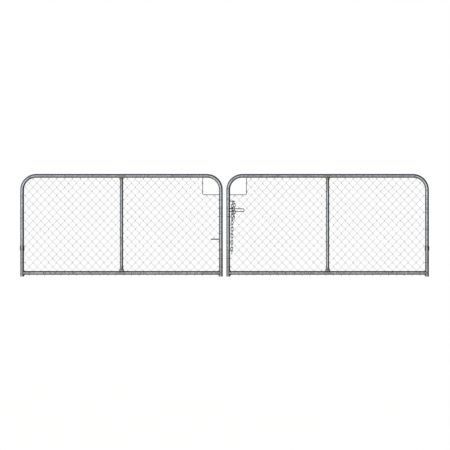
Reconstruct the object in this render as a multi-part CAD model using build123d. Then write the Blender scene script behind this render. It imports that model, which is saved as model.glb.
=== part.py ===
from build123d import *
import os
from math import acos, cos, floor, radians, sin, sqrt

os.makedirs("parts", exist_ok=True)

# Double farm gate: two steel-tube leaves filled with chain-link mesh, hung on gudgeons, closed by a chain.
# All sizes are in millimetres. X runs along the closed gate, -Y is the front, Z is up.
# x = 0 is the middle of the gap where the leaves meet and z = 0 is the foot of the stiles.

# ------------------------------------------------------------------ leaf frame
leaf_width = 2330.0
leaf_height = 1180.0
meeting_gap = 40.0
tube_diameter = 44.5
tube_wall = 2.6
corner_radius = 160.0             # centreline of the two bent top corners
bottom_rail_z = 42.0              # axis of the bottom rail above the stile feet
weld_gap = 0.1                    # room left for the weld where one tube butts on another

# ------------------------------------------------------------------ centre brace
brace_diameter = 38.1
brace_wall = 2.3
brace_foot_width = 58.0           # the foot is pressed flat and spreads along the rail
brace_foot_thickness = 13.0
brace_foot_length = 42.0
brace_head_width = 46.0
brace_head_thickness = 26.0
brace_head_length = 26.0
brace_flat_length = 6.0

# ------------------------------------------------------------------ hand-hole rod
rod_diameter = 8.0
rod_bend_radius = 14.0
hand_hole_width = 232.0           # meeting edge of the leaf to the axis of the upright part
hand_hole_height = 239.0          # top of the leaf to the axis of the level part

# ------------------------------------------------------------------ chain-link mesh
wire_diameter = 2.8
mesh_column_pitch = 45.3          # half the width of a diamond
mesh_row_pitch = 96.3             # height of a diamond
mesh_side_gap = 10.5
mesh_clearance = 0.3              # mesh to the tube or rod in front of it
strand_offset = 2.2               # each strand to the middle plane of the mesh
mesh_below_rail = 3.0             # bottom edge of the mesh under the bottom rail
mesh_over_rail_axis = 14.0        # top edge of the mesh over the axis of the top rail
knuckle_reach = 1.6               # how far a bend passes the column line to hook its neighbour
knuckle_rise = 1.5                # half the height of the crossing behind a knuckle
knuckle_bend = 2.2
stub_length = 5.0                 # height of a wire end past its last knuckle

# ------------------------------------------------------------------ tie wires
tie_diameter = 2.5
tie_clearance = 0.2
rail_tie_offset = 10.0            # tie to the knuckle beside it, along a rail
rail_tie_columns = 4              # one tie on a rail for so many columns of the mesh
rod_tie_columns = 2

# ------------------------------------------------------------------ hinges
pin_diameter = 16.0
pin_clearance = 0.06
eye_wall = 5.0
strap_thickness = 4.5
strap_height = 50.0
strap_clearance = 0.1
strap_flat_length = 26.0
lower_hinge_z = 325.0
upper_hinge_z = 968.0
upper_eye_height = 45.0
tang_thickness = 10.0
tang_clearance = 0.1
barrel_gap = 1.0
shank_diameter = 19.0
shank_length = 120.0
post_grip = 100.0                 # the part of the shank that goes into the post
collar_diameter = 28.0
collar_thickness = 5.0
pin_overrun = 10.0
hinge_gap = 0.5                   # eye to the washer, or to the gudgeon, above or below it
washer_diameter = 32.0
washer_thickness = 3.0
bolt_diameter = 10.0
bolt_hole_clearance = 0.5
bolt_spacing = 26.0
bolt_head_flats = 17.0
bolt_head_height = 6.4
nut_height = 8.0
bolt_overrun = 3.0

# ------------------------------------------------------------------ closing hardware
peg_diameter = 13.0
peg_length = 94.0                 # out of the inner face of the left meeting stile
peg_z = 430.0
keeper_rod = 9.0
keeper_spacing = 33.0
keeper_reach = 164.0              # out of the inner face of the right meeting stile
keeper_z = 764.0
keeper_set_back = 6.0             # keeper axis behind the middle plane of the leaf
staple_rod = 8.0
staple_z = 865.0
staple_reach = 60.0
staple_back_leg = 5.0

# ------------------------------------------------------------------ chain
link_wire = 8.0
link_inner_length = 38.5
link_inner_width = 14.0
link_slack = 0.3
long_strand_offset = 25.0         # from the inner face of the right meeting stile
long_strand_links = 16
tail_first_link = 7
long_strand_lean = 0.6            # degrees, foot of the strand towards the stile
quarter_turn_links = 5            # the strand twists by a quarter turn over these links
short_strand_offset = 40.0
short_strand_kick = 44.0          # degrees, first link of the short strand swung forward
short_strand_leans = [6.0, 5.0, 0.0, -3.0, -3.0, -38.0]      # degrees away from the stile, link by link

# ------------------------------------------------------------------ worked out from those
tube_radius = tube_diameter / 2
wire_radius = wire_diameter / 2
tie_radius = tie_diameter / 2
rod_radius = rod_diameter / 2
link_radius = link_wire / 2
link_width = link_inner_width + 2 * link_wire
link_span = link_inner_length + link_wire        # wire centre to wire centre along a link
link_grip = link_wire + link_slack               # wire centre to wire centre where two links hook
chain_set_forward = keeper_rod / 2 + 1.5 + link_width / 2 - keeper_set_back

strap_inner_radius = tube_radius + strap_clearance
strap_outer_radius = strap_inner_radius + strap_thickness
eye_bore_radius = pin_diameter / 2 + pin_clearance
eye_radius = eye_bore_radius + eye_wall
pin_set_back = strap_outer_radius + strap_flat_length + barrel_gap + eye_radius

first_link_lean = cos(radians(short_strand_leans[0]))
short_strand_forward = (link_span - 2 * link_grip) * sin(radians(short_strand_kick)) * first_link_lean
gate_front = chain_set_forward + short_strand_forward + link_width / 2
gate_back = pin_set_back + shank_diameter / 2 + shank_length
frame_y = (gate_front - gate_back) / 2          # middle plane of the leaves
pin_y = frame_y + pin_set_back
mesh_y = frame_y + tube_radius + mesh_clearance + wire_radius + strand_offset
rod_y = mesh_y - strand_offset - wire_radius - mesh_clearance - rod_radius
keeper_y = frame_y + keeper_set_back
chain_y = frame_y - chain_set_forward

hinge_stile_x = -(meeting_gap / 2 + leaf_width) + tube_radius
meeting_stile_x = -meeting_gap / 2 - tube_radius
inner_face_x = meeting_stile_x - tube_radius     # left leaf; the right leaf mirrors it
brace_x = (hinge_stile_x + meeting_stile_x) / 2
top_rail_z = leaf_height - tube_radius
hand_rod_x = -meeting_gap / 2 - hand_hole_width
hand_rod_z = leaf_height - hand_hole_height

mesh_width = meeting_stile_x - hinge_stile_x - 2 * tube_radius - 2 * mesh_side_gap
wire_count = round(mesh_width / mesh_column_pitch)
column_pitch = mesh_width / wire_count
mesh_bottom_z = bottom_rail_z - tube_radius - mesh_below_rail
mesh_top_z = top_rail_z + mesh_over_rail_axis
row_count = round((mesh_top_z - mesh_bottom_z) / mesh_row_pitch)
half_row = (mesh_top_z - mesh_bottom_z) / (2 * row_count)
first_column_x = hinge_stile_x + tube_radius + mesh_side_gap
hand_hole_node = floor((hand_rod_z - mesh_bottom_z) / half_row)


# ------------------------------------------------------------------ shared shapes
def swept_rod(path, radius):
    """A round bar of one radius carried along a path."""
    start = Plane(origin=path @ 0, z_dir=path % 0)
    return sweep(start * Circle(radius), path=path)


def bar_between(start, end, radius):
    """A straight round bar from one point to another."""
    return swept_rod(Line(start, end), radius)


def hoop_path():
    """The bent centreline: up one stile, round two corners and down the other."""
    return FilletPolyline(
        (hinge_stile_x, frame_y, 0),
        (hinge_stile_x, frame_y, top_rail_z),
        (meeting_stile_x, frame_y, top_rail_z),
        (meeting_stile_x, frame_y, 0),
        radius=corner_radius,
    )


def frame_envelope():
    """The outside of the hoop and bottom rail, with the weld gap, for trimming what butts on them."""
    rail = bar_between(
        (hinge_stile_x, frame_y, bottom_rail_z),
        (meeting_stile_x, frame_y, bottom_rail_z),
        tube_radius + weld_gap,
    )
    return swept_rod(hoop_path(), tube_radius + weld_gap) + rail


def belt_path(centre_a, radius_a, centre_b, radius_b, axis):
    """A closed belt round two circles in the plane square to axis: two tangent lines and two arcs."""
    a = Vector(*centre_a)
    b = Vector(*centre_b)
    span = (b - a).length
    contact = acos((radius_a - radius_b) / span)
    flat = Plane(origin=a, x_dir=(b - a).normalized(), z_dir=axis)

    def at(centre, radius, angle):
        return flat.from_local_coords(Vector(centre + radius * cos(angle), radius * sin(angle), 0))

    a_left, a_right = at(0, radius_a, contact), at(0, radius_a, -contact)
    b_left, b_right = at(span, radius_b, contact), at(span, radius_b, -contact)
    far_a, far_b = at(-radius_a, 0, 0), at(span + radius_b, 0, 0)
    return Wire([
        Line(a_left, b_left),
        ThreePointArc(b_left, far_b, b_right),
        Line(b_right, a_right),
        ThreePointArc(a_right, far_a, a_left),
    ])


# ------------------------------------------------------------------ leaf frame pieces
def make_hoop():
    path = hoop_path()
    return swept_rod(path, tube_radius) - swept_rod(path, tube_radius - tube_wall)


def make_bottom_rail():
    start = (hinge_stile_x, frame_y, bottom_rail_z)
    end = (meeting_stile_x, frame_y, bottom_rail_z)
    rail = bar_between(start, end, tube_radius) - bar_between(start, end, tube_radius - tube_wall)
    rail = rail - swept_rod(hoop_path(), tube_radius + weld_gap)
    return rail.solids().sort_by(SortBy.VOLUME)[-1]


def brace_end(z_rail, up, width, thickness, length):
    """A pressed end: an ellipse at the rail that swells to the round tube over the given length."""
    z_flat = z_rail + up * (tube_radius + brace_flat_length)
    z_round = z_rail + up * (tube_radius + length)
    squashed = Ellipse(width / 2, thickness / 2)
    lower = Pos(brace_x, frame_y, z_flat) * squashed
    upper = Pos(brace_x, frame_y, z_round) * Circle(brace_diameter / 2)
    flat_part = Pos(brace_x, frame_y, min(z_rail, z_flat)) * extrude(squashed, abs(z_flat - z_rail))
    return flat_part + loft([lower, upper] if up > 0 else [upper, lower])


def make_centre_brace():
    foot_top = bottom_rail_z + tube_radius + brace_foot_length
    head_bottom = top_rail_z - tube_radius - brace_head_length
    start = (brace_x, frame_y, foot_top)
    end = (brace_x, frame_y, head_bottom)
    pipe = bar_between(start, end, brace_diameter / 2)
    pipe = pipe - bar_between(start, end, brace_diameter / 2 - brace_wall)
    foot = brace_end(bottom_rail_z, 1, brace_foot_width, brace_foot_thickness, brace_foot_length)
    head = brace_end(top_rail_z, -1, brace_head_width, brace_head_thickness, brace_head_length)
    brace = foot + pipe + head - envelope
    return brace.solids().sort_by(SortBy.VOLUME)[-1]


def make_hand_hole_rod():
    path = FilletPolyline(
        (hand_rod_x, rod_y, top_rail_z),
        (hand_rod_x, rod_y, hand_rod_z),
        (meeting_stile_x, rod_y, hand_rod_z),
        radius=rod_bend_radius,
    )
    rod = swept_rod(path, rod_radius) - envelope
    return rod.solids().sort_by(SortBy.VOLUME)[-1]


# ------------------------------------------------------------------ chain-link mesh
def column_x(column):
    return first_column_x + column * column_pitch


def node_z(node):
    return mesh_bottom_z + node * half_row


def node_column(wire, node):
    """Wires bend at odd columns on whole rows and at even columns on half rows."""
    odd = wire if wire % 2 else wire + 1
    even = wire + 1 if wire % 2 else wire
    return odd if node % 2 == 0 else even


def node_x(wire, node):
    column = node_column(wire, node)
    reach = knuckle_reach if column > wire else -knuckle_reach
    return column_x(column) + reach


def strand_y(wire, node):
    """Plane of the strand that climbs from a node: strands rising to +X lie in front."""
    rises_right = node_column(wire, node + 1) > node_column(wire, node)
    return mesh_y - strand_offset if rises_right else mesh_y + strand_offset


def last_node(wire):
    """The top selvedge, or the row under the hand hole for the wires beside the meeting stile."""
    return hand_hole_node if column_x(wire) > hand_rod_x - column_pitch / 4 else 2 * row_count


def strand_point(wire, node, share):
    """A point on the strand above a node, at a share of its height between two bends."""
    low_x, high_x = node_x(wire, node), node_x(wire, node + 1)
    low_z, high_z = node_z(node) + knuckle_rise, node_z(node + 1) - knuckle_rise
    return Vector(low_x + share * (high_x - low_x), strand_y(wire, node), low_z + share * (high_z - low_z))


def behind_hoop(wire, node, share):
    """Whether a point of a wire lies outside the hoop's centreline at the hinge-side corner."""
    point = strand_point(wire, node, share)
    return point.Z > bend_axis_z(point.X)


def bend_axis_z(x):
    """Height of the hoop's centreline above x, on the hinge-side corner or the straight top rail."""
    from_corner = max(corner_radius - (x - hinge_stile_x), 0)
    return top_rail_z - corner_radius + sqrt(corner_radius ** 2 - from_corner ** 2)


def corner_cut(wire):
    """Node and share at which a wire is cut off behind the bent corner, or None for a whole wire."""
    for node in range(2 * row_count):
        over_corner = node_x(wire, node + 1) < hinge_stile_x + corner_radius
        if over_corner and behind_hoop(wire, node, 1):
            shares = [i / 100 for i in range(101)]
            return node, next(share for share in shares if behind_hoop(wire, node, share))
    return None


def wire_path(wire):
    """One wire of the mesh: a flat spiral whose bends hook its neighbours, with short cut ends."""
    stub = stub_length / half_row
    cut = corner_cut(wire)
    last = cut[0] if cut else last_node(wire)
    points = [strand_point(wire, -1, 1 - stub)]
    for node in range(last + 1):
        x = node_x(wire, node)
        points.append(Vector(x, strand_y(wire, node - 1), node_z(node) - knuckle_rise))
        points.append(Vector(x, strand_y(wire, node), node_z(node) + knuckle_rise))
    points.append(strand_point(wire, last, cut[1] if cut else stub))
    return FilletPolyline(*points, radius=knuckle_bend)


def make_mesh(wires):
    return [swept_rod(wire_path(wire), wire_radius) for wire in wires]


# ------------------------------------------------------------------ tie wires
def make_tie(bar_x, bar_y, bar_radius, column, on_left, node):
    """A loop of wire round an upright bar and the edge of the mesh beside it."""
    reach = -knuckle_reach if on_left else knuckle_reach
    z = node_z(node)
    around_bar = bar_radius + tie_radius + tie_clearance
    around_mesh = strand_offset + wire_radius + tie_radius + tie_clearance
    path = belt_path(
        (bar_x, bar_y, z), around_bar, (column_x(column) + reach, mesh_y, z), around_mesh, (0, 0, 1)
    )
    return swept_rod(path, tie_radius)


def make_level_tie(bar_y, bar_z, bar_radius, column, node, below):
    """A loop of wire round a level bar and the strand that leaves the edge of the mesh beside a knuckle."""
    strand = node if below else node - 1
    wire = column                 # the wire on the far side of the column, seen from the hinge
    x = column_x(column) + rail_tie_offset
    share = abs(x - node_x(wire, node)) / abs(node_x(wire, node + 1) - node_x(wire, node))
    spot = strand_point(wire, strand, share if below else 1 - share)
    around_bar = bar_radius + tie_radius + tie_clearance
    around_strand = wire_diameter + tie_radius + tie_clearance
    path = belt_path((x, bar_y, bar_z), around_bar, (x, spot.Y, spot.Z), around_strand, (1, 0, 0))
    return swept_rod(path, tie_radius)


def make_bottom_rail_ties():
    columns = range(1, wire_count, rail_tie_columns)
    return [make_level_tie(frame_y, bottom_rail_z, tube_radius, c, 0, True) for c in columns]


def make_top_rail_ties():
    """Between the bent corner and the hand hole."""
    low = hinge_stile_x + corner_radius
    high = hand_rod_x - column_pitch
    columns = [c for c in range(1, wire_count, rail_tie_columns) if low < column_x(c) < high]
    return [make_level_tie(frame_y, top_rail_z, tube_radius, c, 2 * row_count, False) for c in columns]


def make_hinge_stile_ties():
    """Every second knuckle of the first column, on the straight part of the stile."""
    top = top_rail_z - corner_radius
    nodes = [n for n in range(3, 2 * row_count, 4) if node_z(n) < top]
    return [make_tie(hinge_stile_x, frame_y, tube_radius, 0, True, n) for n in nodes]


def make_meeting_stile_ties():
    """Every knuckle of the last column, below the hand hole."""
    first = 2 if wire_count % 2 else 3
    nodes = [n for n in range(first, 2 * row_count, 2) if node_z(n) < hand_rod_z - half_row / 2]
    return [make_tie(meeting_stile_x, frame_y, tube_radius, wire_count, False, n) for n in nodes]


def make_hand_hole_ties():
    """Every knuckle beside the upright part of the hand-hole rod, and the mesh under its level part."""
    column = last_whole_wire + 1
    first = 0 if column % 2 else 1
    low = hand_rod_z + rod_bend_radius
    high = top_rail_z - tube_radius
    nodes = [n for n in range(first, 2 * row_count, 2) if low < node_z(n) < high]
    upright = [make_tie(hand_rod_x, rod_y, rod_radius, column, False, n) for n in nodes]
    start = column + (column + hand_hole_node + 1) % 2
    columns = range(start, wire_count, rod_tie_columns)
    return upright + [
        make_level_tie(rod_y, hand_rod_z, rod_radius, c, hand_hole_node, False) for c in columns
    ]


# ------------------------------------------------------------------ hinges
def bolt_places():
    y = frame_y + strap_outer_radius + strap_flat_length / 2
    return [(y, lower_hinge_z - bolt_spacing / 2), (y, lower_hinge_z + bolt_spacing / 2)]


def bolt_holes():
    holes = []
    for y, z in bolt_places():
        start = (hinge_stile_x - tube_radius, y, z)
        end = (hinge_stile_x + tube_radius, y, z)
        holes.append(bar_between(start, end, bolt_diameter / 2 + bolt_hole_clearance))
    return holes


def make_lower_strap():
    """A keyhole band: a ring round the stile with two flats that grip the tang of the eye."""
    flat_end = strap_outer_radius + strap_flat_length
    slot = tang_thickness + 2 * tang_clearance
    low_edge = (Align.CENTER, Align.MIN)
    outside = Circle(strap_outer_radius) + Rectangle(slot + 2 * strap_thickness, flat_end, align=low_edge)
    inside = Circle(strap_inner_radius) + Rectangle(slot, flat_end + 1, align=low_edge)
    band = extrude(outside - inside, strap_height)
    band = Pos(hinge_stile_x, frame_y, lower_hinge_z - strap_height / 2) * band
    return band - bolt_holes()


def make_eye(centre_z, height, tang_start):
    """A barrel for the hinge pin with a flat tang that runs forward to the stile."""
    foot_z = centre_z - height / 2
    barrel = Pos(hinge_stile_x, pin_y, foot_z) * extrude(Circle(eye_radius), height)
    length = pin_y - tang_start
    tang = extrude(Rectangle(tang_thickness, length, align=(Align.CENTER, Align.MIN)), height)
    tang = Pos(hinge_stile_x, tang_start, foot_z) * tang
    bore = Pos(hinge_stile_x, pin_y, foot_z) * extrude(Circle(eye_bore_radius), height)
    return barrel + tang - bore


def make_lower_eye():
    tang_start = frame_y + tube_radius + hinge_gap
    return make_eye(lower_hinge_z, strap_height, tang_start) - bolt_holes()


def make_upper_eye():
    return make_eye(upper_hinge_z, upper_eye_height, frame_y) - envelope


def grip_half_width():
    return tang_thickness / 2 + tang_clearance + strap_thickness


def hexagon(flats):
    return RegularPolygon(flats / sqrt(3), 6)


def make_hinge_bolts():
    """Two hexagon bolts through the strap flats and the tang, heads towards the gateway."""
    bolts = []
    grip = grip_half_width()
    for y, z in bolt_places():
        head = Plane(origin=(hinge_stile_x + grip, y, z), z_dir=(1, 0, 0)) * hexagon(bolt_head_flats)
        head = extrude(head, bolt_head_height)
        tip_x = hinge_stile_x - grip - nut_height - bolt_overrun
        bolts.append(head + bar_between((hinge_stile_x + grip, y, z), (tip_x, y, z), bolt_diameter / 2))
    return bolts


def make_hinge_nuts():
    nuts = []
    for y, z in bolt_places():
        face = Plane(origin=(hinge_stile_x - grip_half_width(), y, z), z_dir=(-1, 0, 0))
        profile = face * (hexagon(bolt_head_flats) - Circle(bolt_diameter / 2 + weld_gap))
        nuts.append(extrude(profile, nut_height))
    return nuts


def make_gudgeon(shank_z, pin_end_z):
    """A shank for the post, with a collar that stops at the post's face and an upright pin forged on its end."""
    tail_y = pin_y + shank_diameter / 2 + shank_length
    face_y = tail_y - post_grip
    corner = (hinge_stile_x, pin_y, shank_z)
    pin = bar_between(corner, (hinge_stile_x, pin_y, pin_end_z), pin_diameter / 2)
    ball = Pos(*corner) * Sphere(shank_diameter / 2)
    shank = bar_between(corner, (hinge_stile_x, tail_y, shank_z), shank_diameter / 2)
    collar_start = (hinge_stile_x, face_y - collar_thickness, shank_z)
    collar = bar_between(collar_start, (hinge_stile_x, face_y, shank_z), collar_diameter / 2)
    return shank + collar + ball + pin


def lower_shank_z():
    return lower_hinge_z - strap_height / 2 - hinge_gap - washer_thickness - shank_diameter / 2


def make_lower_gudgeon():
    return make_gudgeon(lower_shank_z(), lower_hinge_z + strap_height / 2 + pin_overrun)


def make_upper_gudgeon():
    """Turned over, so that the leaf can't be lifted off its pins."""
    shank_z = upper_hinge_z + upper_eye_height / 2 + hinge_gap + shank_diameter / 2
    return make_gudgeon(shank_z, upper_hinge_z - upper_eye_height / 2 - pin_overrun)


def make_thrust_washer():
    ring = Circle(washer_diameter / 2) - Circle(pin_diameter / 2 + weld_gap)
    return Pos(hinge_stile_x, pin_y, lower_shank_z() + shank_diameter / 2) * extrude(ring, washer_thickness)


# ------------------------------------------------------------------ closing hardware
def make_chain_peg():
    end = (inner_face_x - peg_length, frame_y, peg_z)
    peg = bar_between((meeting_stile_x, frame_y, peg_z), end, peg_diameter / 2) - envelope
    return peg.solids().sort_by(SortBy.VOLUME)[-1]


def hairpin(plane, reach, spacing, radius):
    """A rod bent back on itself in a half circle, legs along the plane's X, open end at its origin."""
    half = spacing / 2
    turn = reach - radius - half
    corners = [(0, half), (turn, half), (turn + half, 0), (turn, -half), (0, -half)]
    spots = [plane.from_local_coords(Vector(x, y, 0)) for x, y in corners]
    path = Wire([Line(spots[0], spots[1]), ThreePointArc(*spots[1:4]), Line(spots[3], spots[4])])
    return swept_rod(path, radius)


def make_chain_keeper():
    """Closed slot that a chain link drops into, level with the hand of whoever closes the gate."""
    origin = (-meeting_stile_x, keeper_y, keeper_z)
    plane = Plane(origin=origin, x_dir=(1, 0, 0), z_dir=(0, -1, 0))
    rod = hairpin(plane, tube_radius + keeper_reach, keeper_spacing, keeper_rod / 2)
    return trimmed_to_right_leaf(rod)


def make_chain_staple():
    """Closed ring on the stile that the chain hangs from."""
    spacing = chain_set_forward + staple_back_leg
    middle = frame_y + (staple_back_leg - chain_set_forward) / 2
    plane = Plane(origin=(-meeting_stile_x, middle, staple_z), x_dir=(1, 0, 0), z_dir=(0, 0, 1))
    rod = hairpin(plane, tube_radius + staple_reach, spacing, staple_rod / 2)
    return trimmed_to_right_leaf(rod)


def trimmed_to_right_leaf(shape):
    whole = shape - mirror(envelope, about=Plane.YZ)
    return whole.solids().sort_by(SortBy.VOLUME)[-1]


# ------------------------------------------------------------------ chain
def link_blank():
    """An oval link lying flat, its length along Y."""
    half_width = link_inner_width / 2 + link_radius
    straight = link_inner_length / 2 - link_inner_width / 2
    top = straight + half_width
    path = Wire([
        Line((half_width, -straight), (half_width, straight)),
        ThreePointArc((half_width, straight), (0, top), (-half_width, straight)),
        Line((-half_width, straight), (-half_width, -straight)),
        ThreePointArc((-half_width, -straight), (0, -top), (half_width, -straight)),
    ])
    return swept_rod(path, link_radius)


def link_directions(along, turn):
    """Width and face directions of a link; turn 0 shows its face to the front, 90 its edge."""
    front = (Vector(0, 1, 0) - along * along.Y).normalized()
    side = along.cross(front)
    normal = front * cos(radians(turn)) + side * sin(radians(turn))
    return along.cross(normal), normal


def place_link(blank, top, bottom, turn):
    """Hang a link between the centres of its wire at both ends."""
    width, normal = link_directions((bottom - top).normalized(), turn)
    return Plane(origin=(top + bottom) / 2, x_dir=width, z_dir=normal) * blank


def hang_strand(offset, kicks, leans, turns):
    """Ends and turn of each link, hooked one in another from the front leg of the staple down."""
    hook = Vector(-inner_face_x + offset, chain_y, staple_z)
    hook_wire = Vector(1, 0, 0)
    spots = []
    for kick, lean, turn in zip(kicks, leans, turns):
        forward, aside = radians(kick), radians(lean)
        along = Vector(sin(aside), -sin(forward) * cos(aside), -cos(forward) * cos(aside))
        width, _ = link_directions(along, turn)
        pull = hook_wire.cross(width).normalized()
        pull = pull if pull.dot(along) > 0 else pull * -1
        top = hook - pull * link_grip
        bottom = top + along * link_span
        spots.append((top, bottom, turn))
        hook, hook_wire = bottom, width
    return spots


def long_strand_spots():
    """Nearly plumb, with a quarter twist in its upper part."""
    count = long_strand_links
    turns = [90 * (i + 1) + 90 * min(i / quarter_turn_links, 1) for i in range(count)]
    return hang_strand(long_strand_offset, [0] * count, [-long_strand_lean] * count, turns)


def short_strand_spots():
    """The loose end: its first link swings forward off the staple and its last one ends askew."""
    count = len(short_strand_leans)
    kicks = [short_strand_kick] + [0] * (count - 1)
    turns = [90 * (i + 1) for i in range(count)]
    return hang_strand(short_strand_offset, kicks, short_strand_leans, turns)


def make_links(spots):
    blank = link_blank()
    return [place_link(blank, *spot) for spot in spots]


# ------------------------------------------------------------------ writing the pieces
def write(name, pieces):
    if not isinstance(pieces, list):
        pieces = [pieces]
    solids = [solid for piece in pieces for solid in piece.solids()]
    export_step(solids[0] if len(solids) == 1 else Compound(children=solids), f"parts/{name}.step")


def write_both(name, pieces):
    """The left leaf's pieces, and the same pieces mirrored for the right leaf."""
    if not isinstance(pieces, list):
        pieces = [pieces]
    write(f"left_{name}", pieces)
    write(f"right_{name}", [mirror(piece, about=Plane.YZ) for piece in pieces])


envelope = frame_envelope()
brace_wire = floor((brace_x - first_column_x) / column_pitch)
last_whole_wire = max(wire for wire in range(wire_count) if last_node(wire) == 2 * row_count)

write_both("hoop_tube", make_hoop())
write_both("bottom_rail", make_bottom_rail())
write_both("centre_brace", make_centre_brace())
write_both("hand_hole_rod", make_hand_hole_rod())
write_both("mesh_hinge_bay", make_mesh(range(brace_wire)))
write_both("mesh_meeting_bay", make_mesh(range(brace_wire, last_whole_wire + 1)))
write_both("mesh_under_hand_hole", make_mesh(range(last_whole_wire + 1, wire_count)))
write_both("top_rail_ties", make_top_rail_ties())
write_both("bottom_rail_ties", make_bottom_rail_ties())
write_both("hinge_stile_ties", make_hinge_stile_ties())
write_both("meeting_stile_ties", make_meeting_stile_ties())
write_both("hand_hole_ties", make_hand_hole_ties())
write_both("lower_hinge_strap", make_lower_strap())
write_both("lower_hinge_eye", make_lower_eye())
write_both("upper_hinge_eye", make_upper_eye())
write_both("hinge_bolts", make_hinge_bolts())
write_both("hinge_nuts", make_hinge_nuts())
write_both("lower_gudgeon", make_lower_gudgeon())
write_both("upper_gudgeon", make_upper_gudgeon())
write_both("thrust_washer", make_thrust_washer())
write("left_chain_peg", make_chain_peg())
write("right_chain_keeper", make_chain_keeper())
write("right_chain_staple", make_chain_staple())
write("chain_long_strand", make_links(long_strand_spots()[:tail_first_link]))
write("chain_short_strand", make_links(short_strand_spots()))
write("chain_tail", make_links(long_strand_spots()[tail_first_link:]))
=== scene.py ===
"""Looks for a double farm gate: two galvanised tube leaves filled with chain-link mesh, hung on gudgeons.

Large tubes, mesh, ties and welds are made here round the fixed frame; small fittings keep their own solids.
Shapes are worked out for the left leaf and mirrored for the right one. Lengths are in metres.
"""

import bpy
import numpy as np
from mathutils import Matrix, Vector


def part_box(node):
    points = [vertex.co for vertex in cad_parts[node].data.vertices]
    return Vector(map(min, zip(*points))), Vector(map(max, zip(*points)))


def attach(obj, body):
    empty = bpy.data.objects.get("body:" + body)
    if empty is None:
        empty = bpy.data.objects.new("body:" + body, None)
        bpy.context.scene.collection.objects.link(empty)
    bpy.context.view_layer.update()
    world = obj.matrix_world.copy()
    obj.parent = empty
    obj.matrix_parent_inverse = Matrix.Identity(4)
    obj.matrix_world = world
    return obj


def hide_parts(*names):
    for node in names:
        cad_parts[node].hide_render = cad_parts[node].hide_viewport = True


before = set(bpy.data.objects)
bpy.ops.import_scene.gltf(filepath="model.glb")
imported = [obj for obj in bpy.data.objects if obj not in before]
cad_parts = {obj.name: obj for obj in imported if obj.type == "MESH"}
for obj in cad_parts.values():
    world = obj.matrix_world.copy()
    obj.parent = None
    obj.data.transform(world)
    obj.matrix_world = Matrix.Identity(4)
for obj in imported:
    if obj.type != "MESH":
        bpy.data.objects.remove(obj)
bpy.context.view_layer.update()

MM = 0.001
PI = np.pi
SIDES = ("left", "right")

# ------------------------------------------------------------------ sizes read from the frame
hoop_low, hoop_high = (np.array(c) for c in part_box("left_hoop_tube"))
rail_low, rail_high = (np.array(c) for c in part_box("left_bottom_rail"))
rod_low, rod_high = (np.array(c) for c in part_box("left_hand_hole_rod"))
foot_low, foot_high = (np.array(c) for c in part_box("left_centre_brace"))
tip_low, tip_high = (np.array(c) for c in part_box("left_mesh_hinge_bay"))
end_high = np.array(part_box("left_mesh_under_hand_hole")[1])
peg_low, peg_high = (np.array(c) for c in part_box("left_chain_peg"))
keeper_low, keeper_high = (np.array(c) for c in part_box("right_chain_keeper"))
staple_low, staple_high = (np.array(c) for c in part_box("right_chain_staple"))
eye_low, eye_high = (np.array(c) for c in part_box("left_upper_hinge_eye"))

TUBE = (rail_high[2] - rail_low[2]) / 2
FRAME_Y = (rail_high[1] + rail_low[1]) / 2
HINGE_X = hoop_low[0] + TUBE
MEET_X = hoop_high[0] - TUBE
TOP_Z = hoop_high[2] - TUBE
RAIL_Z = (rail_high[2] + rail_low[2]) / 2
BRACE_X = (foot_low[0] + foot_high[0]) / 2
ROD = (rod_high[1] - rod_low[1]) / 2
ROD_X = rod_low[0] + ROD
ROD_Y = (rod_high[1] + rod_low[1]) / 2
ROD_Z = rod_low[2] + ROD

# ------------------------------------------------------------------ sizes of the finished pieces
TUBE_WALL = 2.6 * MM
BEND = 160 * MM
TUBE_SIDES = 40
BEND_STEPS = 28
RAIL_STATIONS = (0, 0.01, 0.25, 0.5, 0.75, 0.99, 1)     # shares of the rail, with short rings at its ends
SHARP_EDGE = np.radians(50)       # edges that turn more than this stay crisp
WIRE = 1.4 * MM
STRAND = 2.2 * MM                 # a strand to the middle plane of the mesh
REACH = 1.6 * MM                  # a knuckle past its column line
RISE = 1.5 * MM                   # half the height of a knuckle's crossing
KNUCKLE_BEND = 2.2 * MM
STUB = 5.0 * MM
WIRES = 49
ROWS = 12
HAND_NODE = 19                    # the row of knuckles under the hand hole
BRACE_WIRE = 24
SHORT_WIRE = 45                   # first wire that stops under the hand hole
MESH_UNDER_RAIL = 3.0 * MM
MESH_OVER_AXIS = 14.0 * MM
WIRE_SIDES = 8
TIE = 1.25 * MM
TIE_GAP = 0.2 * MM
RAIL_TIE_OFFSET = 10 * MM
BRACE = 38.1 / 2 * MM
BRACE_WALL = 2.3 * MM
FOOT_THICKNESS = 13 * MM
FOOT_LENGTH = 42 * MM
HEAD_WIDTH = 46 * MM
HEAD_THICKNESS = 26 * MM
HEAD_LENGTH = 26 * MM
FLAT_LENGTH = 6 * MM
BEAD_SIDES = 12
BEAD_STEPS = 200
RIPPLE = 0.16                     # how much a weld bead swells at each ripple
RIPPLE_LENGTH = 5 * MM
STILE_WELD = 2.4 * MM
CROTCH_WELD = 5 * MM              # extra metal above and below a rail
FOOT_WELD = 2.8 * MM
HEAD_WELD = 2.6 * MM
ROD_WELD = 1.8 * MM
PEG_WELD = 2.2 * MM
KEEPER_WELD = 2 * MM
HALF_TANG = 5 * MM
SAG = 1.0 * MM                    # the most that the weave wanders
EDGE_FADE = 12                    # the wander is whole a twelfth of the way in from each edge
CORNER_WIRES = 3                  # wires next to the hinge stile that meet the bent corner
CORNER_ROWS = 4
NEAR_STEPS, FAR_STEPS = 22, 10    # points on the two arcs of a tie
TWIST_AHEAD = (0.75, 0.45, -0.5)  # where a tie's twisted ends point

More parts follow.
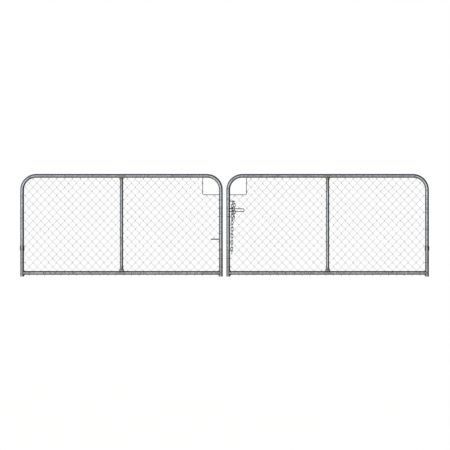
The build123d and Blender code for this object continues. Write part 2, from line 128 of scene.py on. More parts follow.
MESH_Y = (tip_high[1] + tip_low[1]) / 2
FIRST_X = tip_low[0] + REACH + WIRE
PITCH = (end_high[0] - REACH - WIRE - FIRST_X) / WIRES
BOTTOM_NODE_Z = RAIL_Z - TUBE - MESH_UNDER_RAIL
HALF_ROW = (TOP_Z + MESH_OVER_AXIS - BOTTOM_NODE_Z) / (2 * ROWS)


# ------------------------------------------------------------------ shapes as arrays
def unit(vectors):
    """Each vector divided by its own length."""
    return vectors / np.linalg.norm(vectors, axis=-1, keepdims=True)


def grid_faces(rows, columns, wrap=False):
    """Quads between neighbouring points of a grid; the columns always close, and so do the rows with wrap."""
    i = np.arange(rows if wrap else rows - 1)[:, None]
    j = np.arange(columns)[None, :]
    i2, j2 = (i + 1) % rows, (j + 1) % columns
    corners = [i * columns + j, i * columns + j2, i2 * columns + j2, i2 * columns + j]
    return np.stack(np.broadcast_arrays(*corners), -1).reshape(-1, 4)


def rounded(points, radius, steps=5):
    """A line through points with each corner replaced by an arc: the arc's centre lies on the inner
    side of the corner, and its points are centre - inward r cos(a) + ahead r sin(a) for a up to the turn."""
    p = np.asarray(points, float)
    ahead, after = unit(p[1:-1] - p[:-2]), unit(p[2:] - p[1:-1])
    cosine = np.clip((ahead * after).sum(-1, keepdims=True), -1, 1)
    inward = unit(after - cosine * ahead)
    turn = np.arccos(cosine)
    start = p[1:-1] - ahead * radius * np.tan(turn / 2)
    a = (turn * np.linspace(0, 1, steps)[None, :])[:, :, None]
    centre = (start + inward * radius)[:, None, :]
    arcs = centre - inward[:, None] * radius * np.cos(a) + ahead[:, None] * radius * np.sin(a)
    return np.vstack([p[:1], arcs.reshape(-1, 3), p[-1:]])


def ring_frames(path, reference, closed):
    """Two directions square to the path at each point, the first one as near to reference as it can be."""
    if closed:
        tangent = unit(np.roll(path, -1, 0) - np.roll(path, 1, 0))
    else:
        tangent = unit(np.gradient(path, axis=0))
    reference = np.broadcast_to(np.asarray(reference, float), path.shape)
    first = unit(reference - (reference * tangent).sum(-1, keepdims=True) * tangent)
    return first, np.cross(tangent, first)


def carried_grid(path, radius, sides, reference, closed=False):
    """A circle carried along a path: path point plus radius times (first cos a + second sin a)."""
    first, second = ring_frames(path, reference, closed)
    a = 2 * PI * np.arange(sides)[None, :, None] / sides
    r = np.broadcast_to(radius, (len(path),))[:, None, None]
    return path[:, None] + r * (first[:, None] * np.cos(a) + second[:, None] * np.sin(a))


def bar(path, radius, sides, reference, closed=False):
    """A solid rod: a carried circle, with a fan of triangles over each end of an open path."""
    points = carried_grid(path, radius, sides, reference, closed).reshape(-1, 3)
    faces = [grid_faces(len(path), sides, closed)]
    if not closed:
        j = np.arange(sides)
        last = (len(path) - 1) * sides
        faces.append(np.stack([np.full(sides, len(points)), (j + 1) % sides, j], -1))
        faces.append(np.stack([np.full(sides, len(points) + 1), last + j, last + (j + 1) % sides], -1))
        points = np.vstack([points, path[:1], path[-1:]])
    return points, faces


def pipe(outer, inner):
    """A wall between two grids of the same size, closed with a flat ring at both ends."""
    rows, columns = outer.shape[:2]
    count = rows * columns
    j = np.arange(columns)
    j2 = (j + 1) % columns
    last = (rows - 1) * columns
    faces = [
        grid_faces(rows, columns),
        grid_faces(rows, columns)[:, ::-1] + count,
        np.stack([j2, j, j + count, j2 + count], -1),
        np.stack([last + j, last + j2, last + j2 + count, last + j + count], -1),
    ]
    return np.vstack([outer.reshape(-1, 3), inner.reshape(-1, 3)]), faces


def make_mesh(name, parts, mirrored=False):
    """One mesh from (points, face arrays) pairs.

    A mirrored mesh has x turned round and its faces reversed."""
    points = np.vstack([p for p, _ in parts])
    starts = np.cumsum([0] + [len(p) for p, _ in parts])
    faces = [f + s for (_, fs), s in zip(parts, starts) for f in fs]
    if mirrored:
        points = points * np.array([-1, 1, 1])
        faces = [f[:, ::-1] for f in faces]
    sizes = np.concatenate([np.full(len(f), f.shape[1]) for f in faces])
    mesh = bpy.data.meshes.new(name)
    mesh.vertices.add(len(points))
    mesh.vertices.foreach_set("co", points.astype(np.float32).ravel())
    mesh.loops.add(int(sizes.sum()))
    mesh.loops.foreach_set("vertex_index", np.concatenate([f.ravel() for f in faces]).astype(np.int32))
    mesh.polygons.add(len(sizes))
    mesh.polygons.foreach_set("loop_start", (np.cumsum(sizes) - sizes).astype(np.int32))
    mesh.polygons.foreach_set("use_smooth", np.ones(len(sizes), bool))
    mesh.update(calc_edges=True)
    mesh.validate()
    mesh.set_sharp_from_angle(angle=SHARP_EDGE)
    return mesh


def add_piece(name, parts, material, body, replaced=(), mirrored=False):
    """Puts a finished mesh in the scene, on its body, in place of the nodes that it stands for."""
    mesh = make_mesh(name, parts, mirrored)
    mesh.materials.append(material)
    piece = bpy.data.objects.new(name, mesh)
    bpy.context.scene.collection.objects.link(piece)
    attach(piece, body)
    if replaced:
        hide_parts(*replaced)


def add_both(name, parts, material, node=None):
    """The left leaf's piece and its mirror image on the right leaf."""
    for side in SIDES:
        replaced = [f"{side}_{node}"] if node else []
        add_piece(f"{side}_{name}", parts, material, f"{side}_leaf", replaced, side == "right")


# ------------------------------------------------------------------ tubes
def hoop_parts():
    """The tube's centreline is a line with two rounded corners.

    The outer and inner walls are circles carried along it."""
    corners = [
        (HINGE_X, FRAME_Y, 0),
        (HINGE_X, FRAME_Y, TOP_Z),
        (MEET_X, FRAME_Y, TOP_Z),
        (MEET_X, FRAME_Y, 0),
    ]
    path = rounded(corners, BEND, BEND_STEPS)
    outer = carried_grid(path, TUBE, TUBE_SIDES, (0, 1, 0))
    inner = carried_grid(path, TUBE - TUBE_WALL, TUBE_SIDES, (0, 1, 0))
    return [pipe(outer, inner)]


def saddle_depth(y, radius=TUBE):
    """How far a tube's surface stands from its axis where a bar meets it at this depth: sqrt(R^2 - y^2)."""
    return np.sqrt(np.maximum(radius**2 - (y - FRAME_Y) ** 2, 0))


def rail_grid(radius):
    """Each line of the rail runs from one stile's surface to the other's."""
    a = 2 * PI * np.arange(TUBE_SIDES) / TUBE_SIDES
    y, z = FRAME_Y + radius * np.cos(a), RAIL_Z + radius * np.sin(a)
    depth = saddle_depth(y)
    share = np.array(RAIL_STATIONS)[:, None]
    x = HINGE_X + depth + share * (MEET_X - HINGE_X - 2 * depth)
    return np.stack(np.broadcast_arrays(x, y, z), -1)


def rail_parts():
    """The wall between the rail's outer and inner grids."""
    return [pipe(rail_grid(TUBE), rail_grid(TUBE - TUBE_WALL))]


def brace_grid(inset):
    """An ellipse that follows the brace up: pressed flat at the foot, round in the middle, eased back to an
    oval at the head. Its ends follow the rails' surfaces."""
    foot_width = (foot_high[0] - foot_low[0]) / 2
    low, high = RAIL_Z + TUBE, TOP_Z - TUBE
    stations = np.concatenate([
        np.linspace(0, FLAT_LENGTH, 3),
        np.linspace(FLAT_LENGTH, FOOT_LENGTH, 10)[1:],
        np.linspace(FOOT_LENGTH, high - low - HEAD_LENGTH, 9)[1:-1],
        np.linspace(high - low - HEAD_LENGTH, high - low - FLAT_LENGTH, 8),
        np.linspace(high - low - FLAT_LENGTH, high - low, 3)[1:],
    ])
    foot = np.clip((stations - FLAT_LENGTH) / (FOOT_LENGTH - FLAT_LENGTH), 0, 1)
    head = np.clip((high - low - FLAT_LENGTH - stations) / (HEAD_LENGTH - FLAT_LENGTH), 0, 1)
    foot, head = foot**2 * (3 - 2 * foot), head**2 * (3 - 2 * head)
    half_width = BRACE + (1 - foot) * (foot_width - BRACE) + (1 - head) * (HEAD_WIDTH / 2 - BRACE)
    half_depth = BRACE + (1 - foot) * (FOOT_THICKNESS / 2 - BRACE) + (1 - head) * (HEAD_THICKNESS / 2 - BRACE)
    a = 2 * PI * np.arange(TUBE_SIDES) / TUBE_SIDES
    x = BRACE_X + (half_width - inset)[:, None] * np.cos(a)
    y = FRAME_Y + (half_depth - inset)[:, None] * np.sin(a)
    bottom, top = RAIL_Z + saddle_depth(y), TOP_Z - saddle_depth(y)
    z = bottom + (stations / (high - low))[:, None] * (top - bottom)
    return np.stack([x, y, z], -1)


def brace_parts():
    """The wall between the brace's outer and inner grids."""
    return [pipe(brace_grid(0), brace_grid(BRACE_WALL))]


# ------------------------------------------------------------------ mesh
def knuckle_columns(wire, nodes):
    """Bends lie on odd columns in whole rows and on even columns in half rows."""
    odd, even = (wire, wire + 1) if wire % 2 else (wire + 1, wire)
    return np.where(nodes % 2 == 0, odd, even)


def knuckle_x(wire, nodes):
    """A knuckle's place across the leaf: its column, plus the reach if far or less it if near."""
    columns = knuckle_columns(wire, nodes)
    return FIRST_X + columns * PITCH + np.where(columns > wire, REACH, -REACH)


def knuckle_z(nodes):
    """A knuckle's height: the bottom row plus its count of half rows."""
    return BOTTOM_NODE_Z + nodes * HALF_ROW


def strand_point(wire, node, share):
    """A point on the strand above a node, at a share of its height."""
    n = np.array([node, node + 1])
    x, z = knuckle_x(wire, n), knuckle_z(n) + np.array([RISE, -RISE])
    columns = knuckle_columns(wire, n)
    y = MESH_Y - STRAND if columns[1] > columns[0] else MESH_Y + STRAND
    return np.array([x[0] + share * (x[1] - x[0]), y, z[0] + share * (z[1] - z[0])])


def corner_share(wire, node):
    """Share of a strand at which it passes behind the bent corner's centreline.

    None if the strand stays inside the corner."""
    shares = np.linspace(0, 1, 101)
    spots = np.array([strand_point(wire, node, s) for s in shares])
    from_corner = HINGE_X + BEND - spots[:, 0]
    outside = (from_corner > 0) & (np.hypot(from_corner, spots[:, 2] - TOP_Z + BEND) > BEND)
    outside &= spots[:, 2] > TOP_Z - BEND
    return shares[np.argmax(outside)] if outside.any() else None


def sag(points):
    """A slow wander of the weave, from sines of the place across and up, the same for every wire that meets.

    It comes to nothing at the edges."""
    u = (points[:, 0] - FIRST_X) / (WIRES * PITCH)
    v = (points[:, 2] - BOTTOM_NODE_Z) / (2 * ROWS * HALF_ROW)
    edge = np.clip(np.minimum.reduce([u, 1 - u, v, 1 - v]) * EDGE_FADE, 0, 1)
    moved = points.copy()
    moved[:, 0] += edge * SAG * (0.6 * np.sin(23 * u + 5 * v) + 0.4 * np.sin(61 * u * v + 2))
    moved[:, 2] += edge * SAG * (0.7 * np.sin(17 * v + 9 * u) + 0.3 * np.cos(47 * u - 11 * v))
    return moved


def wire_path(wire):
    """A flat spiral: each strand runs straight from one column to the next in the front or the back plane,
    and each knuckle crosses the mesh from plane to plane."""
    last = HAND_NODE if wire >= SHORT_WIRE else 2 * ROWS
    end_share = STUB / HALF_ROW
    for node in range(2 * ROWS - CORNER_ROWS, 2 * ROWS):
        share = corner_share(wire, node) if wire < CORNER_WIRES else None
        if share is not None:
            last, end_share = node, share
            break
    nodes = np.arange(0, last + 1)
    x, z = knuckle_x(wire, nodes), knuckle_z(nodes)
    columns = knuckle_columns(wire, np.arange(-1, last + 2))
    y = MESH_Y + np.where(columns[1:] > columns[:-1], -STRAND, STRAND)
    arriving = np.stack([x, y[:-1], z - RISE], -1)
    leaving = np.stack([x, y[1:], z + RISE], -1)
    bends = np.stack([arriving, leaving], 1).reshape(-1, 3)
    first = strand_point(wire, -1, 1 - STUB / HALF_ROW)
    final = strand_point(wire, last, end_share)
    return rounded(sag(np.vstack([first, bends, final])), KNUCKLE_BEND, 4)


def mesh_parts(wires):
    """Each wire's own closed bar."""
    return [bar(wire_path(wire), WIRE, WIRE_SIDES, (1, 0, 0)) for wire in wires]


# ------------------------------------------------------------------ tie wires
def belt_path(centre_a, radius_a, centre_b, radius_b, axis):
    """A belt round two circles: the tangent touches both where cos(contact) = (ra - rb) / span, so each
    circle keeps the arc on its far side."""
    a, b = np.asarray(centre_a, float), np.asarray(centre_b, float)
    span = np.linalg.norm(b - a)
    ahead = (b - a) / span
    across = np.cross(axis, ahead)
    contact = np.arccos((radius_a - radius_b) / span)
    near = np.linspace(contact, 2 * PI - contact, NEAR_STEPS)[:, None]
    far = np.linspace(-contact, contact, FAR_STEPS)[:, None]
    round_a = a + radius_a * (ahead * np.cos(near) + across * np.sin(near))
    round_b = b + radius_b * (ahead * np.cos(far) + across * np.sin(far))
    return np.vstack([round_a, round_b])


def pigtail(root, ahead, length=13 * MM, pitch=7 * MM):
    """Two wire ends twisted together: a pair of helices half a turn apart round a straight line."""
    ahead = unit(np.asarray(ahead, float))
    side = unit(np.cross(ahead, (0.3, 0.5, 0.8)))
    up = np.cross(ahead, side)
    t = np.linspace(0, 1, 18)[:, None]
    parts = []
    for phase in (0, PI):
        a = 2 * PI * t * length / pitch + phase
        path = root + ahead * t * length + 1.05 * TIE * (side * np.cos(a) + up * np.sin(a))
        parts.append(bar(path, 0.95 * TIE, 5, ahead + 0.5 * side))
    return parts


def tie_parts(bar_centre, bar_radius, edge_centre, edge_radius, axis):
    """One tie: a belt round the bar and the edge of the mesh, with its ends twisted off behind."""
    around_bar = bar_radius + TIE + TIE_GAP
    around_edge = edge_radius + TIE + TIE_GAP
    path = belt_path(bar_centre, around_bar, edge_centre, around_edge, axis)
    root = np.asarray(edge_centre) + np.array([0, around_edge + TIE, 0])
    return [bar(path, TIE, 6, axis, True)] + pigtail(root, TWIST_AHEAD)


def upright_ties(x, y, radius, column, reach, nodes):
    """Ties round an upright bar at the knuckles beside it."""
    ties = []
    for n in nodes:
        z = knuckle_z(n)
        edge = (FIRST_X + column * PITCH + reach, MESH_Y, z)
        ties += tie_parts((x, y, z), radius, edge, STRAND + WIRE, (0, 0, 1))
    return ties


def level_ties(y, z, radius, columns, node, below):
    """Ties round a level bar and the strand that leaves a knuckle at the edge of the mesh."""
    ties = []
    for c in columns:
        x = FIRST_X + c * PITCH + RAIL_TIE_OFFSET
        ends = knuckle_x(c, np.array([node, node + 1]))
        share = abs((x - ends[0]) / (ends[1] - ends[0]))
        spot = strand_point(c, node if below else node - 1, share if below else 1 - share)
        ties += tie_parts((x, y, z), radius, (x, spot[1], spot[2]), 2 * WIRE, (1, 0, 0))
    return ties


# ------------------------------------------------------------------ welds
def bead(path, outward, radius, closed=True):
    """A weld: a bar along the joint whose radius swells and falls once in each ripple length."""
    step = np.linalg.norm(np.roll(path, -1, 0) - path, axis=1)
    travelled = np.cumsum(step) - step
    ripple = 1 + RIPPLE * np.abs(np.sin(PI * travelled / RIPPLE_LENGTH))
    return bar(path, radius * ripple, BEAD_SIDES, outward, closed)


def joint_on_stile(stile_x, side, y, z, half_height, half_depth, radius, crotch=0.0):
    """Weld where a level bar meets a stile: an ellipse in height and depth, laid on the stile's surface. The
    crotch, above and below the bar, takes more metal than the front and back."""
    a = np.linspace(0, 2 * PI, BEAD_STEPS, endpoint=False)
    up, back = half_height * np.cos(a), half_depth * np.sin(a)
    path = np.stack([stile_x + side * saddle_depth(y + back), y + back, z + up], -1)
    outward = np.stack([0 * a, np.sin(a), np.cos(a)], -1)
    return bead(path, outward, radius + crotch * np.abs(np.cos(a)) ** 6)


def joint_on_rail(rail_z, side, x, y, half_width, half_depth, radius):
    """Weld where an upright bar meets a rail: an ellipse in width and depth, laid on the rail's surface."""
    a = np.linspace(0, 2 * PI, BEAD_STEPS, endpoint=False)
    path = np.stack([
        x + half_width * np.cos(a),
        y + half_depth * np.sin(a),
        rail_z + side * saddle_depth(y + half_depth * np.sin(a)),
    ], -1)
    outward = np.stack([np.cos(a), np.sin(a), 0 * a], -1)
    return bead(path, outward, radius)


def frame_welds():
    """Rail to stiles, brace to rails, and hand-hole rod to rail and stile."""
    foot_half = (foot_high[0] - foot_low[0]) / 2
    beads = [
        joint_on_stile(HINGE_X, 1, FRAME_Y, RAIL_Z, TUBE, TUBE, STILE_WELD, CROTCH_WELD),
        joint_on_stile(MEET_X, -1, FRAME_Y, RAIL_Z, TUBE, TUBE, STILE_WELD, CROTCH_WELD),
        joint_on_rail(RAIL_Z, 1, BRACE_X, FRAME_Y, foot_half, FOOT_THICKNESS / 2, FOOT_WELD),
        joint_on_rail(TOP_Z, -1, BRACE_X, FRAME_Y, HEAD_WIDTH / 2, HEAD_THICKNESS / 2, HEAD_WELD),
        joint_on_rail(TOP_Z, -1, ROD_X, ROD_Y - 1 * MM, ROD, ROD * 0.7, ROD_WELD),
        joint_on_stile(MEET_X, -1, ROD_Y - 1 * MM, ROD_Z, ROD, ROD * 0.7, ROD_WELD),
    ]
    back = FRAME_Y + np.sqrt(TUBE**2 - HALF_TANG**2)
    heights = np.linspace(eye_low[2] + 2 * MM, eye_high[2] - 2 * MM, 60)
    for x in (HINGE_X - HALF_TANG, HINGE_X + HALF_TANG):
        path = np.stack([0 * heights + x, 0 * heights + back, heights], -1)
        beads.append(bead(path, (x - HINGE_X, 3 * MM, 0), STILE_WELD, False))
    return beads


def peg_welds():
    """One ring where the peg meets the left meeting stile."""
    radius = (peg_high[2] - peg_low[2]) / 2
    height = (peg_high[2] + peg_low[2]) / 2
    return [joint_on_stile(MEET_X, -1, FRAME_Y, height, radius, radius, PEG_WELD)]


def keeper_welds():
    """On the left leaf's side, to be mirrored: two legs of the keeper and two of the staple."""
    beads = []
    radius = (keeper_high[1] - keeper_low[1]) / 2
    y = (keeper_high[1] + keeper_low[1]) / 2
    for z in (keeper_low[2] + radius, keeper_high[2] - radius):
        beads.append(joint_on_stile(MEET_X, -1, y, z, radius, radius, KEEPER_WELD))
    radius = (staple_high[2] - staple_low[2]) / 2
    z = (staple_high[2] + staple_low[2]) / 2
    for y in (staple_low[1] + radius, staple_high[1] - radius):
        beads.append(joint_on_stile(MEET_X, -1, y, z, radius, radius, KEEPER_WELD))
    return beads


# ------------------------------------------------------------------ materials
def linear(code):
    """sRGB hex to linear colour.

    Up to 0.04045 it is the value over 12.92, and above that ((value + 0.055) / 1.055)^2.4."""
    values = np.array([int(code[i:i + 2], 16) / 255 for i in (1, 3, 5)])
    out = np.where(values <= 0.04045, values / 12.92, ((values + 0.055) / 1.055) ** 2.4)
    return (*out, 1.0)


def add(tree, kind, links=None, **settings):
    """Adds a node, sets its properties, or its sockets by name, and links other nodes' outputs to it."""
    made = tree.nodes.new(kind)
    for name, value in settings.items():
        if hasattr(made, name):
            setattr(made, name, value)
        else:
            made.inputs[name.replace("_", " ")].default_value = value
    for socket, output in (links or {}).items():
        tree.links.new(output, made.inputs[socket])
    return made


def ramp(tree, source, stops):
    """A colour ramp with the given (position, colour) stops."""
    made = add(tree, "ShaderNodeValToRGB", {"Fac": source})
    elements = made.color_ramp.elements
    elements[0].position, elements[0].color = stops[0]
    elements[1].position, elements[1].color = stops[-1]
    for position, colour in stops[1:-1]:
        elements.new(position).color = colour
    return made.outputs["Color"]


def grey(value):
    """A neutral linear colour."""
    return (value, value, value, 1.0)


def blended(tree, share, colour, other):
    """One colour laid over another by a share."""
    mixer = add(tree, "ShaderNodeMix", data_type="RGBA")
    tree.links.new(share, mixer.inputs[0])
    tree.links.new(colour, mixer.inputs[6])
    mixer.inputs[7].default_value = other
    return mixer.outputs[2]


def galvanised(name, dark, light, spangle, rough, worn=None, dull=(), knuckles=False):
    """Hot-dip galvanised steel, zinc crystals under a thin oxide.

    Each cell has its own grey and gloss, with a cloudy oxide over the cells, and fine grain in the coat.

    spangle is the crystal size in metres; rough is the least and the most roughness; worn is a colour for
    rubbed or stained spots; dull is a list of (axis, place, reach) bands painted again after welding;
    knuckles paints shade into the zinc: a darker grey band at each row where the wires hook round each other."""
    material = bpy.data.materials.new(name)
    material.use_nodes = True
    tree = material.node_tree
    shader = tree.nodes["Principled BSDF"]
    place = add(tree, "ShaderNodeTexCoord").outputs["Object"]
    cells = add(tree, "ShaderNodeTexVoronoi", {"Vector": place}, Scale=1 / spangle, Randomness=1.0)
    cell = add(tree, "ShaderNodeSeparateColor", {"Color": cells.outputs["Color"]})
    cloud = add(tree, "ShaderNodeTexNoise", {"Vector": place}, Scale=1 / (90 * MM), Detail=4.0, Roughness=0.6)
    grain = add(tree, "ShaderNodeTexNoise", {"Vector": place}, Scale=1 / (2.2 * MM), Detail=3.0)
    mixed = add(tree, "ShaderNodeMath", {0: cell.outputs["Red"], 1: cloud.outputs["Fac"]}, operation="ADD")
    shade = add(tree, "ShaderNodeMapRange", {"Value": mixed.outputs[0]}, From_Min=0.35, From_Max=1.35)
    colour = ramp(tree, shade.outputs[0], [(0, linear(dark)), (0.9, linear(light))])
    gloss = add(tree, "ShaderNodeMapRange", {"Value": mixed.outputs[0]},
                From_Min=0.3, From_Max=1.4, To_Min=rough[1], To_Max=rough[0])
    roughness = gloss.outputs[0]
    if worn:
        spots = add(tree, "ShaderNodeTexNoise", {"Vector": place},
                    Scale=1 / (35 * MM), Detail=6.0, Roughness=0.7)
        mask = add(tree, "ShaderNodeMapRange", {"Value": spots.outputs["Fac"]},
                   From_Min=0.58, From_Max=0.72)
        colour = blended(tree, mask.outputs[0], colour, linear(worn))
    # Painted shade: a darker grey laid in a band at each row of knuckles, where the crossing wires hook round
    # each other.
    if knuckles:
        parts = add(tree, "ShaderNodeSeparateXYZ", {0: place})
        level = add(tree, "ShaderNodeMath", {0: parts.outputs["Z"]}, operation="SUBTRACT")
        level.inputs[1].default_value = BOTTOM_NODE_Z - HALF_ROW / 2
        level = add(tree, "ShaderNodeMath", {0: level.outputs[0]}, operation="DIVIDE")
        level.inputs[1].default_value = HALF_ROW
        level = add(tree, "ShaderNodeMath", {0: level.outputs[0]}, operation="FRACT")
        away = add(tree, "ShaderNodeMath", {0: level.outputs[0]}, operation="SUBTRACT")
        away.inputs[1].default_value = 0.5
        away = add(tree, "ShaderNodeMath", {0: away.outputs[0]}, operation="ABSOLUTE")
        mask = add(tree, "ShaderNodeMapRange", {"Value": away.outputs[0]}, From_Min=0.14, From_Max=0.06)
        colour = blended(tree, mask.outputs[0], colour, linear("#74777A"))
    for axis, middle, reach in dull:
        colour, roughness = dull_band(tree, place, grain, colour, roughness, axis, middle, reach)
    tree.links.new(colour, shader.inputs["Base Color"])
    tree.links.new(roughness, shader.inputs["Roughness"])
    shader.inputs["Metallic"].default_value = 1.0
    height = add(tree, "ShaderNodeMath", {0: grain.outputs["Fac"], 1: cell.outputs["Green"]},
                 operation="ADD")
    bump = add(tree, "ShaderNodeBump", {"Height": height.outputs[0]}, Strength=0.35, Distance=0.12 * MM)
    tree.links.new(bump.outputs[0], shader.inputs["Normal"])
    return material


def dull_band(tree, place, grain, colour, roughness, axis, middle, reach):
    """Zinc-rich paint brushed over a weld: a paler, flatter patch with a ragged edge round one place."""
    parts = add(tree, "ShaderNodeSeparateXYZ", {0: place})
    value = add(tree, "ShaderNodeMath", {0: parts.outputs[axis]}, operation="ABSOLUTE")
    away = add(tree, "ShaderNodeMath", {0: value.outputs[0]}, operation="SUBTRACT")
    away.inputs[1].default_value = middle
    away = add(tree, "ShaderNodeMath", {0: away.outputs[0]}, operation="ABSOLUTE")
    ragged = add(tree, "ShaderNodeTexNoise", {"Vector": place}, Scale=1 / (16 * MM), Detail=3.0)
    shifted = add(tree, "ShaderNodeMath", {0: ragged.outputs["Fac"], 2: away.outputs[0]},
                  operation="MULTIPLY_ADD")
    shifted.inputs[1].default_value = 0.6 * reach
    mask = add(tree, "ShaderNodeMapRange", {"Value": shifted.outputs[0]},
               From_Min=reach * 1.35, From_Max=reach * 1.2)
    paint = ramp(tree, ragged.outputs["Fac"], [
        (0.3, linear("#A9ABA7")), (0.55, linear("#C9CAC5")), (0.75, linear("#D9D9D3")),
    ])
    gloss = add(tree, "ShaderNodeMapRange", {"Value": grain.outputs["Fac"]}, To_Min=0.34, To_Max=0.56)
    flat = add(tree, "ShaderNodeMix", {0: mask.outputs[0], 2: roughness, 3: gloss.outputs[0]},
               data_type="FLOAT")
    mixer = add(tree, "ShaderNodeMix", data_type="RGBA")
    for socket, output in ((0, mask.outputs[0]), (6, colour), (7, paint)):
        tree.links.new(output, mixer.inputs[socket])
    return mixer.outputs[2], flat.outputs[0]


# Bands brushed with zinc-rich paint after welding: (axis, place along it, how far the paint reaches).
corner_band = ("Z", RAIL_Z, 34 * MM)
below_strap = ("Z", 130 * MM, 170 * MM)

# Bent tube dipped whole: palm-wide clouds over 11 mm crystals, smooth enough to mirror the studio in streaks.
tube_zinc = galvanised("hot_dip_zinc_on_tube", "#8B9198", "#CDD2D6", 11 * MM, (0.12, 0.28), None,
                       [below_strap, corner_band, ("X", -BRACE_X, 46 * MM)])
# The same coat on the straight rail, a shade paler, with paint round the brace and both stiles.
rail_zinc = galvanised("hot_dip_zinc_on_rail", "#8F959C", "#D2D6D9", 11 * MM, (0.12, 0.28), None,
                       [("X", -BRACE_X, 46 * MM), ("X", -HINGE_X, 44 * MM), ("X", -MEET_X, 44 * MM)])
# The thinner brace cools faster, so its crystals are a little smaller.
brace_zinc = galvanised("hot_dip_zinc_on_brace", "#8B9198", "#CBD0D4", 10 * MM, (0.12, 0.3), None,
                        [("Z", RAIL_Z + TUBE, 44 * MM), ("Z", TOP_Z - TUBE, 150 * MM)])
# Drawn wire with a thin even coat: pale and satin, with painted shade, a darker grey, where the wires hook.
wire_zinc = galvanised("drawn_zinc_wire", "#CDD0D1", "#EBECEC", 6 * MM, (0.34, 0.5), knuckles=True)
# Soft annealed wire with a weathered coat: dark grey and dull against the tube.
tie_zinc = galvanised("soft_tie_wire", "#46494C", "#727578", 5 * MM, (0.4, 0.6))
# Round rod with a thin weathered coat: dark, with one soft line of shine.
rod_zinc = galvanised("zinc_on_round_rod", "#45494E", "#787D82", 7 * MM, (0.28, 0.45))
# Weld metal under brushed zinc paint: dark, rough and without shine.
weld_zinc = galvanised("zinc_paint_on_weld", "#4F5253", "#8A8C88", 4 * MM, (0.5, 0.7))
# Forged and pressed hinge pieces, dipped: mid grey, duller than tube, with brown stain in the low spots.
fitting_zinc = galvanised("hot_dip_zinc_on_forging", "#7B8085", "#AEB2B5", 8 * MM, (0.26, 0.44), "#77736B")
# Electroplated bolts: an even, slightly yellow white, brighter than the dipped pieces.
bolt_zinc = galvanised("bright_zinc_plate", "#A7A79F", "#CFCEC2", 20 * MM, (0.22, 0.36))
# Chain that rubs and holds dirt: dark links with browner patches and small bright faces.
chain_zinc = galvanised("zinc_on_chain", "#4B5055", "#8D9296", 6 * MM, (0.26, 0.45), "#4A4641")

# ------------------------------------------------------------------ the two leaves
straight_top = TOP_Z - BEND
hinge_nodes = [n for n in range(3, 2 * ROWS, 4) if knuckle_z(n) < straight_top]
meeting_nodes = [n for n in range(2, HAND_NODE, 2)]
rod_nodes = [n for n in range(HAND_NODE, 2 * ROWS)
             if n % 2 == 0 and ROD_Z + 14 * MM < knuckle_z(n) < TOP_Z - TUBE]
rail_columns = range(1, WIRES, 4)
top_columns = [c for c in rail_columns
               if HINGE_X + BEND < FIRST_X + c * PITCH < ROD_X - PITCH]
rod_columns = range(SHORT_WIRE + 1, WIRES, 2)

add_both("hoop", hoop_parts(), tube_zinc, "hoop_tube")
add_both("rail", rail_parts(), rail_zinc, "bottom_rail")
add_both("brace", brace_parts(), brace_zinc, "centre_brace")
add_both("weave_hinge_bay", mesh_parts(range(BRACE_WIRE)), wire_zinc, "mesh_hinge_bay")
add_both("weave_meeting_bay", mesh_parts(range(BRACE_WIRE, SHORT_WIRE)), wire_zinc,
         "mesh_meeting_bay")
add_both("weave_under_hand_hole", mesh_parts(range(SHORT_WIRE, WIRES)), wire_zinc,
         "mesh_under_hand_hole")
add_both("hinge_ties", upright_ties(HINGE_X, FRAME_Y, TUBE, 0, -REACH, hinge_nodes), tie_zinc,
         "hinge_stile_ties")
add_both("meeting_ties", upright_ties(MEET_X, FRAME_Y, TUBE, WIRES, REACH, meeting_nodes), tie_zinc,
         "meeting_stile_ties")
add_both("bottom_ties", level_ties(FRAME_Y, RAIL_Z, TUBE, rail_columns, 0, True), tie_zinc,
         "bottom_rail_ties")
add_both("top_ties", level_ties(FRAME_Y, TOP_Z, TUBE, top_columns, 2 * ROWS, False), tie_zinc,
         "top_rail_ties")
add_both("hand_hole_bindings",
         upright_ties(ROD_X, ROD_Y, ROD, SHORT_WIRE, REACH, rod_nodes)
         + level_ties(ROD_Y, ROD_Z, ROD, rod_columns, HAND_NODE, False),
         tie_zinc, "hand_hole_ties")
add_both("frame_welds", frame_welds(), weld_zinc)
add_piece("left_peg_weld", peg_welds(), weld_zinc, "left_leaf")
add_piece("right_keeper_welds", keeper_welds(), weld_zinc, "right_leaf", mirrored=True)

# ------------------------------------------------------------------ finishes on the fittings
finishes = {
    "hand_hole_rod": rod_zinc, "lower_hinge_strap": fitting_zinc, "lower_hinge_eye": fitting_zinc,
    "upper_hinge_eye": fitting_zinc, "hinge_bolts": bolt_zinc, "hinge_nuts": bolt_zinc,
    "lower_gudgeon": fitting_zinc, "upper_gudgeon": fitting_zinc, "thrust_washer": bolt_zinc,
    "chain_peg": rod_zinc, "chain_keeper": rod_zinc, "chain_staple": rod_zinc,
    "chain_long_strand": chain_zinc, "chain_short_strand": chain_zinc, "chain_tail": chain_zinc,
}
for name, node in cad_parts.items():
    plain = name.removeprefix("left_").removeprefix("right_")
    if plain in finishes:
        node.data.materials.clear()
        node.data.materials.append(finishes[plain])

# ------------------------------------------------------------------ floor, light and camera
scene = bpy.context.scene
scene.view_settings.view_transform = "Standard"

floor_mesh = make_mesh("floor", [(np.array([(-40, -60, 0), (40, -60, 0), (40, 40, 0), (-40, 40, 0)], float),
                                  [np.array([[0, 1, 2, 3]])])])
floor = bpy.data.objects.new("floor", floor_mesh)
scene.collection.objects.link(floor)
floor.visible_glossy = False      # the gate reflects the studio's dim ground instead
floor.visible_diffuse = False
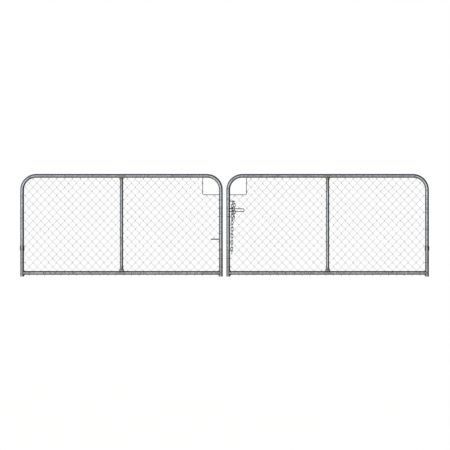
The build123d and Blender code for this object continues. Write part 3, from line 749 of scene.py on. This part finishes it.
# A matt white studio sweep, lit evenly from within so that it meets the backdrop with no edge.
floor_paint = bpy.data.materials.new("pale_floor")
floor_paint.use_nodes = True
paint = floor_paint.node_tree.nodes["Principled BSDF"]
paint.inputs["Base Color"].default_value = grey(0.35)
paint.inputs["Roughness"].default_value = 1.0
paint.inputs["Emission Color"].default_value = (1.0, 0.992, 0.978, 1.0)
paint.inputs["Emission Strength"].default_value = 0.948
floor_mesh.materials.append(floor_paint)

# The camera sees a white backdrop. The gate reflects a soft box in front of it, a narrow one behind it,
# a pale screen on the left, a dark blue ceiling and a brownish ground.
BOX_LIGHT = 1.15
SCREEN_LIGHT = 0.2
GROUND_LIGHT = 0.24
CEILING_LIGHT = 0.06
world = bpy.data.worlds.new("studio")
scene.world = world
world.use_nodes = True
sky = world.node_tree
backdrop = sky.nodes["Background"]
backdrop.inputs["Color"].default_value = grey(1.0)
sight = add(sky, "ShaderNodeTexCoord").outputs["Generated"]
heading = add(sky, "ShaderNodeSeparateXYZ", {0: sight})
turned = add(sky, "ShaderNodeVectorRotate", {"Vector": sight},
             rotation_type="Z_AXIS", Angle=np.radians(14))
box_heading = add(sky, "ShaderNodeSeparateXYZ", {0: turned.outputs[0]})
depth = add(sky, "ShaderNodeMapRange", {"Value": box_heading.outputs["Y"]}, From_Min=-1.0, From_Max=1.0)
boxes = ramp(sky, depth.outputs[0], [
    (0, grey(1.0)), (0.04, grey(0.95)), (0.09, grey(0.26)), (0.25, grey(0.05)), (0.5, grey(0.01)),
    (0.85, grey(0.02)), (0.95, grey(0.5)), (1, grey(0.7)),
])
left = add(sky, "ShaderNodeMapRange", {"Value": heading.outputs["X"]},
           From_Min=-0.1, From_Max=-0.5, To_Min=0.0, To_Max=SCREEN_LIGHT)
nearer = add(sky, "ShaderNodeMapRange", {"Value": heading.outputs["Y"]}, From_Min=0.7, From_Max=0.1)
screen = add(sky, "ShaderNodeMath", {0: left.outputs[0], 1: nearer.outputs[0]}, operation="MULTIPLY")
ground = add(sky, "ShaderNodeMapRange", {"Value": heading.outputs["Z"]},
             From_Min=-0.1, From_Max=-0.7, To_Min=0.0, To_Max=GROUND_LIGHT)
ceiling = add(sky, "ShaderNodeMapRange", {"Value": heading.outputs["Z"]},
              From_Min=0.4, From_Max=0.9, To_Min=0.0, To_Max=CEILING_LIGHT)
total = add(sky, "ShaderNodeMath", {0: boxes}, operation="MULTIPLY")
total.inputs[1].default_value = BOX_LIGHT
total = total.outputs[0]
for part in (screen, ground, ceiling):
    total = add(sky, "ShaderNodeMath", {0: total, 1: part.outputs[0]}, operation="ADD").outputs[0]
height = add(sky, "ShaderNodeMapRange", {"Value": heading.outputs["Z"]}, From_Min=-1.0, From_Max=1.0)
tint = ramp(sky, height.outputs[0], [
    (0.15, linear("#D8CDB4")), (0.4, linear("#F2F2F0")), (0.6, linear("#F4F6FA")), (0.8, linear("#C2CAE6")),
])
surround = add(sky, "ShaderNodeBackground", {"Color": tint, "Strength": total})
choice = add(sky, "ShaderNodeMixShader", {
    0: add(sky, "ShaderNodeLightPath").outputs["Is Camera Ray"],
    1: surround.outputs[0],
    2: backdrop.outputs[0],
})
sky.links.new(choice.outputs[0], sky.nodes["World Output"].inputs["Surface"])

VIEW_WIDTH = 5.175                # width of the plane of the gate that fills the picture
VIEW_DISTANCE = 30.0
VIEW_X, VIEW_Z = 0.0046, 0.593    # where the camera's axis meets the gate
FILM = 36                         # the sensor's width in millimetres
camera_data = bpy.data.cameras.new("camera")
camera_data.sensor_width = FILM
camera_data.lens = FILM * VIEW_DISTANCE / VIEW_WIDTH
camera_data.clip_end = 200
camera = bpy.data.objects.new("camera", camera_data)
camera.location = (VIEW_X, FRAME_Y - VIEW_DISTANCE, VIEW_Z)
camera.rotation_euler = (PI / 2, 0, 0)
scene.collection.objects.link(camera)
scene.camera = camera
